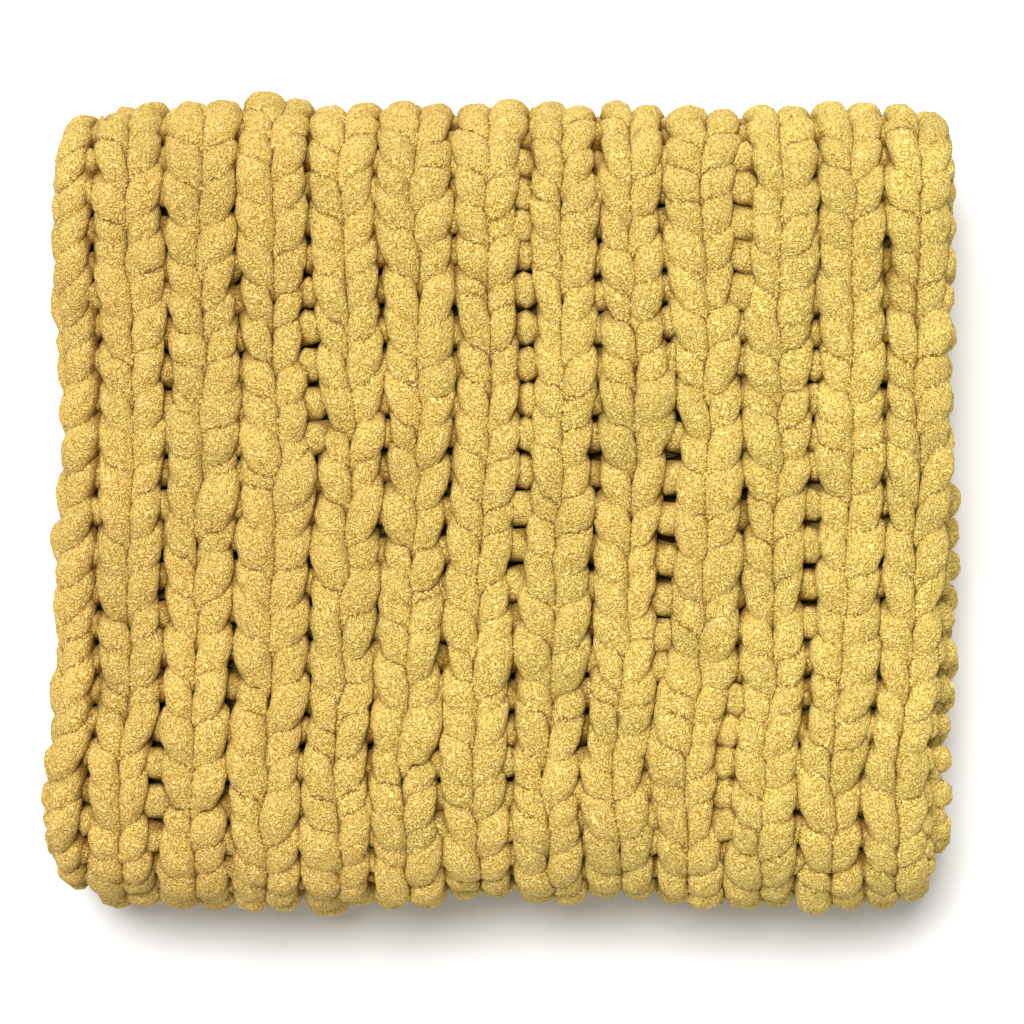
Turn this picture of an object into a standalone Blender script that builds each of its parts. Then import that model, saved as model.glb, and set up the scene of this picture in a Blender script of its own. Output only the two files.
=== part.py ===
"""Chunky knit blanket, folded in half and then in thirds, as one closed solid.

The cloth starts as a flat slab, knit_across by knit_along by its thickness. The slab is
cut where it bends and round its stitches, and each corner is then carried to its place in
the folded blanket: first round the half fold at the left, then round the two bends that
lay it in thirds. +X is the right and +Y the far edge of the folded blanket.
"""

import math
from typing import NamedTuple

import bmesh
import bpy
from mathutils import Vector

# Driving sizes, in metres.
WALE = 0.0458
ROW = 0.023
WALES = 25
ROWS = 70
SHEET = 0.027
HALF_GAP = 0.004
PANEL_GAP = 0.003
LEG_HEIGHT = 0.0025
FOLDED_DEPTH = 0.525

# The relief of the stitches, measured down from the top of a stitch.
LADDER_DEPTH = 0.0075
CENTRE_DEPTH = 0.0040
SEAM_DEPTH = 0.0050
V_SLANT = 0.70

# The rounded edges of the cloth.
EDGE_ROUND = 0.013
EDGE_BLUNT = 0.80

# The bends.
FRONT_RADIUS = 0.036
SELVAGE_CURL = 55.0
NOSE_CENTRE_X = -0.2607
TOP_HALF_WIDTH = 0.5446

# How much lower the pile settles, as a share of its height, where its rim begins and how
# wide that rim is.
SETTLED_RIGHT = 0.060
SETTLED_LEFT = 0.030
SETTLED_ENDS = 0.045
RIM_X = 0.160
RIM_Y = 0.150
RIM_WIDTH = 0.130

# What the bends work out to.
PAIR = 2.0 * SHEET + HALF_GAP
HALF_RISE = (SHEET + HALF_GAP) / 2.0
PANEL_RISE = PAIR + PANEL_GAP
BACK_RADIUS = PANEL_RISE / 2.0
CLOTH_WIDTH = WALES * WALE
CLOTH_LENGTH = ROWS * ROW
FRONT_Y = -FOLDED_DEPTH / 2.0 + FRONT_RADIUS + PAIR / 2.0
BACK_Y = FOLDED_DEPTH / 2.0 - BACK_RADIUS - PAIR / 2.0
PANEL = BACK_Y - FRONT_Y


class Section(NamedTuple):
    """One straight or evenly bent stretch of a folded cloth, with the cloth it takes up."""

    name: str
    cloth: float
    radius: float
    turn: float


def arc(radius, turn, stitches_at):
    """Return the length of cloth on an arc whose stitches lie stitches_at outside radius."""
    return math.radians(turn) * (radius + stitches_at)


NOSE_CLOTH = arc(HALF_RISE, 180.0, LEG_HEIGHT)
CURL_CLOTH = WALE / 2.0
BEND_LEG = HALF_RISE + LEG_HEIGHT
RISE = 2.0 * (PANEL_RISE - FRONT_RADIUS)
QUARTER = arc(FRONT_RADIUS, 90.0, BEND_LEG)
BACK_CLOTH = arc(BACK_RADIUS, 180.0, BEND_LEG)
INNER_PANEL = PANEL + 0.003
BOTTOM_PANEL = CLOTH_LENGTH - 2.0 * QUARTER - RISE - PANEL - BACK_CLOTH - INNER_PANEL

# Across the cloth: the lower half, the nose of the half fold, the upper half and its edge.
ACROSS = (
    Section("lower_half", CLOTH_WIDTH - NOSE_CLOTH - TOP_HALF_WIDTH, 0.0, 0.0),
    Section("nose", NOSE_CLOTH, HALF_RISE, 180.0),
    Section("upper_half", TOP_HALF_WIDTH - CURL_CLOTH, 0.0, 0.0),
    Section("selvage_curl", CURL_CLOTH, CURL_CLOTH / math.radians(SELVAGE_CURL), SELVAGE_CURL),
)

# Along the cloth: the bottom panel, the front bend, the top panel, the back bend, the middle.
ALONG = (
    Section("bottom_panel", BOTTOM_PANEL, 0.0, 0.0),
    Section("front_lower", QUARTER, FRONT_RADIUS, 90.0),
    Section("front_rise", RISE, 0.0, 0.0),
    Section("front_upper", QUARTER, FRONT_RADIUS, 90.0),
    Section("top_panel", PANEL, 0.0, 0.0),
    Section("back_bend", BACK_CLOTH, BACK_RADIUS, 180.0),
    Section("middle_panel", INNER_PANEL, 0.0, 0.0),
)

# Cuts across each section, enough to round its bend.
ACROSS_CUTS = {"lower_half": 3, "nose": 6, "upper_half": 3, "selvage_curl": 2}
ALONG_CUTS = {
    "bottom_panel": 3,
    "front_lower": 4,
    "front_rise": 1,
    "front_upper": 4,
    "top_panel": 3,
    "back_bend": 7,
    "middle_panel": 3,
}


class Drift(NamedTuple):
    """How far the left and right sides of the folded cloth lie to the right of true."""

    along: float
    left: float
    right: float


def start_of(sections, name):
    """Return the distance along the cloth at which the named section starts."""
    total = 0.0
    for section in sections:
        if section.name == name:
            return total
        total += section.cloth
    raise ValueError(name)


NOSE_START = start_of(ACROSS, "nose")
FIRST_LADDER = start_of(ACROSS, "upper_half")
RIBS_START = start_of(ALONG, "front_lower")
TOP_START = start_of(ALONG, "top_panel")
TOP_END = start_of(ALONG, "back_bend")
RIBS_END = start_of(ALONG, "middle_panel")
DRIFTS = (
    Drift(0.0, 0.004, 0.002),
    Drift(0.7 * BOTTOM_PANEL, 0.002, 0.001),
    Drift(BOTTOM_PANEL, -0.001, -0.002),
    Drift(TOP_START, -0.003, -0.003),
    Drift(TOP_START + 0.15 * PANEL, -0.006, -0.001),
    Drift(TOP_START + 0.50 * PANEL, 0.000, 0.000),
    Drift(TOP_END, 0.005, 0.002),
    Drift(RIBS_END, 0.006, 0.001),
    Drift(RIBS_END + 0.45 * INNER_PANEL, 0.006, 0.002),
    Drift(RIBS_END + 0.62 * INNER_PANEL, 0.010, 0.0095),
    Drift(RIBS_END + 0.80 * INNER_PANEL, 0.008, 0.006),
    Drift(CLOTH_LENGTH, 0.004, 0.001),
)

# The rows whose stitches are raised: the ones that show from above.
SHOWN_ROWS = 24
SHOWN_MIDDLE = (TOP_START + TOP_END) / 2.0
SHOWN = (SHOWN_MIDDLE - SHOWN_ROWS * ROW / 2.0, SHOWN_MIDDLE + SHOWN_ROWS * ROW / 2.0)
ROW_CUTS = (0.0, 0.6)


def smooth(t):
    """Return t eased between 0 and 1."""
    t = min(max(t, 0.0), 1.0)
    return t * t * (3.0 - 2.0 * t)


def drift(x, along):
    """Return the sideways shift of the cloth at a place across it and a distance along it."""
    side = min(max(0.5 + x / (-2.0 * NOSE_CENTRE_X), 0.0), 1.0)
    for low, high in zip(DRIFTS, DRIFTS[1:]):
        if along <= high.along:
            part = smooth((along - low.along) / (high.along - low.along))
            left = low.left + part * (high.left - low.left)
            right = low.right + part * (high.right - low.right)
            return left + side * (right - left)
    return DRIFTS[-1].left


def walk(sections, start, distance, outward):
    """Follow the sections of a fold, which starts to the left and always turns clockwise.

    Returns the place, outward from the line of the fold by the given amount.
    """
    x, y = start
    heading = math.pi
    for section in sections:
        part = min(distance, section.cloth)
        distance -= part
        if section.turn:
            centre_x = x + section.radius * math.sin(heading)
            centre_y = y - section.radius * math.cos(heading)
            heading -= math.radians(section.turn) * part / section.cloth
            x = centre_x - section.radius * math.sin(heading)
            y = centre_y + section.radius * math.cos(heading)
        else:
            x += part * math.cos(heading)
            y += part * math.sin(heading)
        if distance <= 0.0:
            break
    return x - outward * math.sin(heading), y + outward * math.cos(heading)


def settled(x, y):
    """Return the share of the pile's height that is left at a place."""
    right = SETTLED_RIGHT * smooth((x - RIM_X) / RIM_WIDTH)
    left = SETTLED_LEFT * smooth((-x - RIM_X) / RIM_WIDTH)
    ends = SETTLED_ENDS * smooth((abs(y) - RIM_Y) / RIM_WIDTH)
    return 1.0 - right - left - ends


def place(across, along, up):
    """Return where a point of the flat cloth lies in the folded blanket."""
    edge_x = NOSE_CENTRE_X + ACROSS[0].cloth
    x, level = walk(ACROSS, (edge_x, -HALF_RISE), across, up)
    free_y = FRONT_Y + BOTTOM_PANEL
    y, z = walk(ALONG, (free_y, PAIR / 2.0), along, level)
    x += drift(x, along)
    return Vector((x, y, z * settled(x, y)))


def leg_place(across):
    """Return 0 at the middle of a column of stitches, 1 at the ladder between two columns."""
    return abs(((across - FIRST_LADDER) / WALE) % 1.0 - 0.5) * 2.0


def ridge_drop(across):
    """Return how far the knit face lies below the tops of its columns."""
    leg = leg_place(across)
    side = LADDER_DEPTH if leg > 0.5 else CENTRE_DEPTH
    return side * (2.0 * leg - 1.0) ** 2


def seam_drop(row_part):
    """Return how far the knit face falls at a seam between two stitches of a column."""
    return SEAM_DEPTH * max(0.0, 1.0 - min(row_part / 0.5, (1.0 - row_part) / 0.3))


def edge_share(across, along):
    """Return the share of the cloth's thickness that is left near its rounded edges."""
    near = min(across, CLOTH_WIDTH - across, along, CLOTH_LENGTH - along)
    inward = max(0.0, 1.0 - near / EDGE_ROUND)
    return math.sqrt(1.0 - EDGE_BLUNT * inward * inward)


def section_lines(sections, cuts, snap_from, snap):
    """Return the distances at which the cloth is cut for its bends and rounded edges.

    From snap_from on, the cuts of the bends lie on whole steps of snap.
    """
    total = sum(section.cloth for section in sections)
    lines = [0.3 * EDGE_ROUND, EDGE_ROUND, total - EDGE_ROUND, total - 0.3 * EDGE_ROUND]
    begin = 0.0
    for section in sections:
        count = cuts[section.name]
        for step in range(count):
            line = begin + section.cloth * step / count
            if line > snap_from[0] and line < snap_from[1]:
                line = snap_from[0] + round((line - snap_from[0]) / snap) * snap
            lines.append(line)
        begin += section.cloth
    apart = []
    for line in lines:
        if 0.0 < line < total and all(abs(line - other) > 0.003 for other in apart):
            apart.append(line)
    return sorted(apart)


def cut(mesh, faces, axis, distance):
    """Cut the given faces of the flat slab, or all of them, across one axis."""
    normal = Vector((0.0, 0.0, 0.0))
    normal[axis] = 1.0
    chosen = mesh.faces[:] if faces is None else faces
    edges = dict.fromkeys(edge for face in chosen for edge in face.edges)
    corners = dict.fromkeys(corner for face in chosen for corner in face.verts)
    bmesh.ops.bisect_plane(
        mesh,
        geom=list(chosen) + list(edges) + list(corners),
        dist=1e-6,
        plane_co=normal * distance,
        plane_no=normal,
    )


def knit_faces(mesh, across, along):
    """Return the faces of the knit side whose middles lie between the given distances."""
    found = []
    for face in mesh.faces:
        middle = face.calc_center_median()
        if middle.z > 0.49 * SHEET and across[0] < middle.x < across[1]:
            if along[0] < middle.y < along[1]:
                found.append(face)
    return found


def cloth_slab():
    """Return the flat slab of cloth, cut for its bends, its columns and its stitches."""
    mesh = bmesh.new()
    bmesh.ops.create_cube(mesh, size=1.0)
    for corner in mesh.verts:
        corner.co.x = (corner.co.x + 0.5) * CLOTH_WIDTH
        corner.co.y = (corner.co.y + 0.5) * CLOTH_LENGTH
        corner.co.z *= SHEET
    for line in section_lines(ACROSS, ACROSS_CUTS, (FIRST_LADDER, CLOTH_WIDTH), WALE / 4.0):
        cut(mesh, None, 0, line)
    for line in section_lines(ALONG, ALONG_CUTS, SHOWN, ROW):
        cut(mesh, None, 1, line)

    columns = (NOSE_START, CLOTH_WIDTH)
    ribs = (RIBS_START, RIBS_END)
    for step in range(-5, 4 * WALES):
        across = FIRST_LADDER + step * WALE / 4.0
        if across < CLOTH_WIDTH - 0.5 * EDGE_ROUND:
            cut(mesh, knit_faces(mesh, columns, ribs), 0, across)
    for row in range(SHOWN_ROWS):
        for row_part in ROW_CUTS:
            along = SHOWN[0] + (row + row_part) * ROW
            cut(mesh, knit_faces(mesh, columns, SHOWN), 1, along)
    return mesh


def fold(mesh):
    """Carry each corner of the flat slab to its place in the folded blanket."""
    for corner in mesh.verts:
        across, along, up = corner.co
        if up > 0.0 and across > NOSE_START and RIBS_START < along < RIBS_END:
            shown = min(smooth((along - SHOWN[0]) / ROW), smooth((SHOWN[1] - along) / ROW))
            row_part = ((along - SHOWN[0]) / ROW) % 1.0
            fade = min(
                smooth((across - NOSE_START) / (0.5 * WALE)),
                smooth((along - RIBS_START) / (0.6 * QUARTER)),
                smooth((RIBS_END - along) / (0.4 * BACK_CLOTH)),
            )
            up -= fade * max(ridge_drop(across), shown * seam_drop(row_part))
            along += fade * shown * V_SLANT * ROW * (leg_place(across) - 0.5)
        corner.co = place(across, along, up * edge_share(across, along))


def wool():
    """Return the blanket's mustard chenille."""
    material = bpy.data.materials.new("mustard_chenille")
    material.use_nodes = True
    shader = material.node_tree.nodes["Principled BSDF"]
    shader.inputs["Base Color"].default_value = (0.72, 0.48, 0.13, 1.0)
    shader.inputs["Roughness"].default_value = 0.95
    shader.inputs["Metallic"].default_value = 0.0
    shader.inputs["Sheen Weight"].default_value = 0.4
    return material


def build():
    """Build the folded blanket as one object."""
    for old in list(bpy.data.objects):
        bpy.data.objects.remove(old, do_unlink=True)
    slab = cloth_slab()
    fold(slab)
    bmesh.ops.triangulate(slab, faces=slab.faces[:])
    bmesh.ops.recalc_face_normals(slab, faces=slab.faces[:])
    mesh = bpy.data.meshes.new("blanket")
    slab.to_mesh(mesh)
    slab.free()
    mesh.materials.append(wool())
    mesh.shade_smooth()
    blanket = bpy.data.objects.new("blanket", mesh)
    group = bpy.data.collections.new("chunky_knit_blanket")
    bpy.context.scene.collection.children.link(group)
    group.objects.link(blanket)


build()
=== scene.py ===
"""Looks of the folded chunky knit blanket: every stitch of its yarn, its pile and its light.

The cloth is worked out stitch by stitch on the flat, in metres across it, along it and up
from it. Each point of the yarn is then carried round the blanket's folds to its place.
"""

from __future__ import annotations

import logging
import math
from dataclasses import dataclass, field
from enum import Enum

import bpy
import numpy as np
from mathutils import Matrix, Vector


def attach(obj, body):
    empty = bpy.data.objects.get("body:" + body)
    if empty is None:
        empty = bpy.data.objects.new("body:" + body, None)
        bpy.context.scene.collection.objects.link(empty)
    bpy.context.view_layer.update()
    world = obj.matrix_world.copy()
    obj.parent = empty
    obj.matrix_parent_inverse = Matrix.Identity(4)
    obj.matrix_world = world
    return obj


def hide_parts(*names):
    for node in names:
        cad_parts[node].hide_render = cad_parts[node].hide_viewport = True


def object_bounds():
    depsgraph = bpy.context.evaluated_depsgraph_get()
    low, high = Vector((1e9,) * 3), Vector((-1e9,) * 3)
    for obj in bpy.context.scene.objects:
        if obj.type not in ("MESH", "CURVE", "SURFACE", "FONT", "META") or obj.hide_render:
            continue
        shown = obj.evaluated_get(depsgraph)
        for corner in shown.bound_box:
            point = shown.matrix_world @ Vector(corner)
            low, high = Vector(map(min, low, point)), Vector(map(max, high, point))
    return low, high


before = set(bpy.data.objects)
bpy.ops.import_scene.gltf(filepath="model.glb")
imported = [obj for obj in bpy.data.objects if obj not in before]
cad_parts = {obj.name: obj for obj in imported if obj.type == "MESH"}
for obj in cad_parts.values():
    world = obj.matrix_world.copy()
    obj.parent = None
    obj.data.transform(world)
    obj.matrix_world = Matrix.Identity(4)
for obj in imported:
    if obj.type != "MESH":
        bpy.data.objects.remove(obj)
LOG = logging.getLogger("blanket")
CAD_LOW, CAD_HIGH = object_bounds()

# The knitted cloth, in metres.
WALE = 0.0458
ROW = 0.023
WALES = 25
ROWS = 70
SHEET = 0.027
HALF_GAP = 0.004
PANEL_GAP = 0.003
LEG_HEIGHT = 0.0025

# The folded blanket.
FRONT_RADIUS = 0.036
SELVAGE_CURL = 55.0
NOSE_CENTRE_X = -0.2607
TOP_HALF_WIDTH = 0.5446
PAIR = 2.0 * SHEET + HALF_GAP
HALF_RISE = (SHEET + HALF_GAP) / 2.0
PANEL_RISE = PAIR + PANEL_GAP
BACK_RADIUS = PANEL_RISE / 2.0
CLOTH_WIDTH = WALES * WALE
CLOTH_LENGTH = ROWS * ROW
FRONT_Y = CAD_LOW.y + FRONT_RADIUS + PAIR / 2.0
BACK_Y = CAD_HIGH.y - BACK_RADIUS - PAIR / 2.0
PANEL = BACK_Y - FRONT_Y


def eased(t: np.ndarray | float) -> np.ndarray:
    """Return t held between 0 and 1 and eased at both ends."""
    held = np.clip(t, 0.0, 1.0)
    return held * held * (3.0 - 2.0 * held)


@dataclass(frozen=True)
class Section:
    """One straight or evenly bent stretch of a folded cloth, with the cloth it takes up."""

    name: str
    cloth: float
    radius: float = 0.0
    turn: float = 0.0


@dataclass(frozen=True)
class FoldLine:
    """The line that one fold of the cloth follows. It starts to the left and turns clockwise."""

    sections: tuple[Section, ...]
    start: tuple[float, float]

    def begins(self, name: str) -> float:
        """Return the distance along the line at which a section begins.

        Args:
            name: the section's name.

        Returns:
            The distance in metres.
        """
        total = 0.0
        for section in self.sections:
            if section.name == name:
                return total
            total += section.cloth
        raise ValueError(name)

    def follow(self, distance: np.ndarray, outward: np.ndarray) -> tuple[np.ndarray, np.ndarray]:
        """Find the places at some distances along the line and off it.

        Args:
            distance: how far along the line each point lies.
            outward: how far off the line, on the outer side of its bends.

        Returns:
            The two coordinates of each point, in the plane of the fold.
        """
        first, second = np.zeros_like(distance), np.zeros_like(distance)
        x, y = self.start
        heading, begin = math.pi, 0.0
        for index, section in enumerate(self.sections):
            after = distance >= begin if index else np.ones(distance.shape, bool)
            last = index == len(self.sections) - 1
            here = after if last else after & (distance < begin + section.cloth)
            part = distance[here] - begin
            if section.turn:
                centre_x = x + section.radius * math.sin(heading)
                centre_y = y - section.radius * math.cos(heading)
                turned = heading - math.radians(section.turn) * part / section.cloth
                reach = section.radius + outward[here]
                first[here] = centre_x - reach * np.sin(turned)
                second[here] = centre_y + reach * np.cos(turned)
                heading -= math.radians(section.turn)
                x = centre_x - section.radius * math.sin(heading)
                y = centre_y + section.radius * math.cos(heading)
            else:
                off = outward[here]
                first[here] = x + part * math.cos(heading) - off * math.sin(heading)
                second[here] = y + part * math.sin(heading) + off * math.cos(heading)
                x += section.cloth * math.cos(heading)
                y += section.cloth * math.sin(heading)
            begin += section.cloth
        return first, second


def bend_cloth(radius: float, turn: float, stitches_at: float) -> float:
    """Return the cloth that a bend of some degrees takes up, with stitches outside its line."""
    return math.radians(turn) * (radius + stitches_at)


NOSE_CLOTH = bend_cloth(HALF_RISE, 180.0, LEG_HEIGHT)
CURL_CLOTH = WALE / 2.0
RISE = 2.0 * (PANEL_RISE - FRONT_RADIUS)
QUARTER = bend_cloth(FRONT_RADIUS, 90.0, HALF_RISE + LEG_HEIGHT)
BACK_CLOTH = bend_cloth(BACK_RADIUS, 180.0, HALF_RISE + LEG_HEIGHT)
INNER_PANEL = PANEL + 0.003
BOTTOM_PANEL = CLOTH_LENGTH - 2.0 * QUARTER - RISE - PANEL - BACK_CLOTH - INNER_PANEL

ACROSS = FoldLine(
    (
        Section("lower_half", CLOTH_WIDTH - NOSE_CLOTH - TOP_HALF_WIDTH),
        Section("nose", NOSE_CLOTH, HALF_RISE, 180.0),
        Section("upper_half", TOP_HALF_WIDTH - CURL_CLOTH),
        Section("curl", CURL_CLOTH, CURL_CLOTH / math.radians(SELVAGE_CURL), SELVAGE_CURL),
    ),
    (NOSE_CENTRE_X + CLOTH_WIDTH - NOSE_CLOTH - TOP_HALF_WIDTH, -HALF_RISE),
)
ALONG = FoldLine(
    (
        Section("bottom_panel", BOTTOM_PANEL),
        Section("front_lower", QUARTER, FRONT_RADIUS, 90.0),
        Section("front_rise", RISE),
        Section("front_upper", QUARTER, FRONT_RADIUS, 90.0),
        Section("top_panel", PANEL),
        Section("back_bend", BACK_CLOTH, BACK_RADIUS, 180.0),
        Section("middle_panel", INNER_PANEL),
    ),
    (FRONT_Y + BOTTOM_PANEL, PAIR / 2.0),
)
FIRST_LADDER = ACROSS.begins("upper_half")
TOP_START = ALONG.begins("top_panel")
TOP_END = ALONG.begins("back_bend")
MIDDLE_START = ALONG.begins("middle_panel")


@dataclass(frozen=True)
class Drift:
    """How far the cloth lies to the right of true: at its lower selvage, nose and upper selvage."""

    along: float
    lower: float
    nose: float
    upper: float


@dataclass(frozen=True)
class Swell:
    """How far the back and front bends push out at a place across the blanket."""

    x: float
    back: float
    front: float


@dataclass(frozen=True)
class FoldedCloth:
    """Carries points of the flat cloth to their places in the folded blanket."""

    drifts: tuple[Drift, ...] = (
        Drift(0.0, 0.004, 0.004, 0.002),
        Drift(0.7 * BOTTOM_PANEL, 0.004, 0.002, 0.001),
        Drift(BOTTOM_PANEL, 0.004, -0.003, -0.003),
        Drift(TOP_START - 0.020, 0.004, -0.008, -0.010),
        Drift(TOP_START + 0.0155, 0.005, -0.009, -0.012),
        Drift(TOP_START + 0.0985, 0.007, -0.002, -0.003),
        Drift(TOP_START + 0.2515, 0.002, -0.001, 0.002),
        Drift(TOP_END + 0.005, 0.004, -0.004, 0.004),
        Drift(MIDDLE_START, 0.008, 0.004, 0.001),
        Drift(MIDDLE_START + 0.45 * INNER_PANEL, 0.006, 0.006, 0.002),
        Drift(MIDDLE_START + 0.62 * INNER_PANEL, 0.010, 0.008, 0.008),
        Drift(MIDDLE_START + 0.80 * INNER_PANEL, 0.008, 0.007, 0.006),
        Drift(CLOTH_LENGTH, 0.004, 0.004, 0.001),
    )
    swells: tuple[Swell, ...] = (
        Swell(-0.300, -0.007, -0.008),
        Swell(-0.240, 0.000, -0.003),
        Swell(-0.160, 0.004, 0.001),
        Swell(-0.080, -0.001, -0.001),
        Swell(0.000, -0.002, -0.005),
        Swell(0.060, 0.000, -0.006),
        Swell(0.130, -0.003, -0.004),
        Swell(0.210, 0.000, 0.001),
        Swell(0.260, 0.000, 0.001),
        Swell(0.300, -0.004, -0.007),
    )
    swell_from: float = 0.140
    swell_width: float = 0.110
    tucked: float = 0.030
    settled_right: float = 0.060
    settled_left: float = 0.030
    settled_ends: float = 0.045
    rim_x: float = 0.160
    rim_y: float = 0.150
    rim_width: float = 0.130
    facing_step: float = 0.0005

    def drift(self, across: np.ndarray, along: np.ndarray) -> np.ndarray:
        """Return the sideways shift of the cloth.

        Args:
            across: the distances across the cloth.
            along: the distances along the cloth.

        Returns:
            The shift of each point to the right.
        """
        knots = np.array([drift.along for drift in self.drifts])
        index = np.clip(np.searchsorted(knots, along) - 1, 0, len(knots) - 2)
        part = eased((along - knots[index]) / (knots[index + 1] - knots[index]))
        edge, nose, far = (
            values[index] + part * (values[index + 1] - values[index])
            for values in np.array([(d.lower, d.nose, d.upper) for d in self.drifts]).T
        )
        lower = np.clip(1.0 - across / (FIRST_LADDER - NOSE_CLOTH), 0.0, 1.0)
        upper = np.clip((across - FIRST_LADDER) / TOP_HALF_WIDTH, 0.0, 1.0)
        return nose + lower**2 * (edge - nose) + upper * (far - nose)

    def swell(self, x: np.ndarray, y: np.ndarray) -> np.ndarray:
        """Return how far the bends push the cloth outward.

        Args:
            x: the places across the folded blanket.
            y: the places along it.

        Returns:
            The shift of each point along the blanket.
        """
        knots = [swell.x for swell in self.swells]
        back = np.interp(x, knots, [swell.back for swell in self.swells])
        front = np.interp(x, knots, [swell.front for swell in self.swells])
        far = eased((y - self.swell_from) / self.swell_width)
        near = eased((-y - self.swell_from) / self.swell_width)
        return far * back - near * front

    def settled(self, x: np.ndarray, y: np.ndarray) -> np.ndarray:
        """Return the share of the pile's height that is left at some places.

        Args:
            x: the places across the folded blanket.
            y: the places along it.

        Returns:
            A share of 1 or less for each place.
        """
        right = self.settled_right * eased((x - self.rim_x) / self.rim_width)
        left = self.settled_left * eased((-x - self.rim_x) / self.rim_width)
        ends = self.settled_ends * eased((np.abs(y) - self.rim_y) / self.rim_width)
        return 1.0 - right - left - ends

    def place(self, flat: np.ndarray) -> np.ndarray:
        """Carry points of the flat cloth to the folded blanket.

        Args:
            flat: rows of distance across, distance along and height above the cloth.

        Returns:
            Rows of x, y and z in the frame of the blanket.
        """
        across, along, up = flat[:, 0], flat[:, 1], flat[:, 2]
        x, level = ACROSS.follow(across, up)
        inner = np.maximum(along - MIDDLE_START, 0.0)
        tucked = along - inner * self.tucked / INNER_PANEL
        y, z = ALONG.follow(tucked, level)
        x = x + self.drift(across, along)
        y = y + self.swell(x, y)
        return np.stack((x, y, z * self.settled(x, y)), axis=1)

    def front(self, flat: np.ndarray) -> np.ndarray:
        """Return the unit direction in which the knit side faces at rows of flat points."""
        found = self.place(flat + np.array((0.0, 0.0, self.facing_step))) - self.place(flat)
        return found / np.linalg.norm(found, axis=1)[:, None]


@dataclass(frozen=True)
class WideLadder:
    """A stretch of a ladder, between two columns of stitches, that has been pulled open."""

    ladder: int
    far: float
    near: float
    width: float


@dataclass(frozen=True)
class Bow:
    """How far one ladder of the top panel bows to the right, in four places, in millimetres."""

    far: float
    middle: float
    near: float
    front: float


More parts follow.
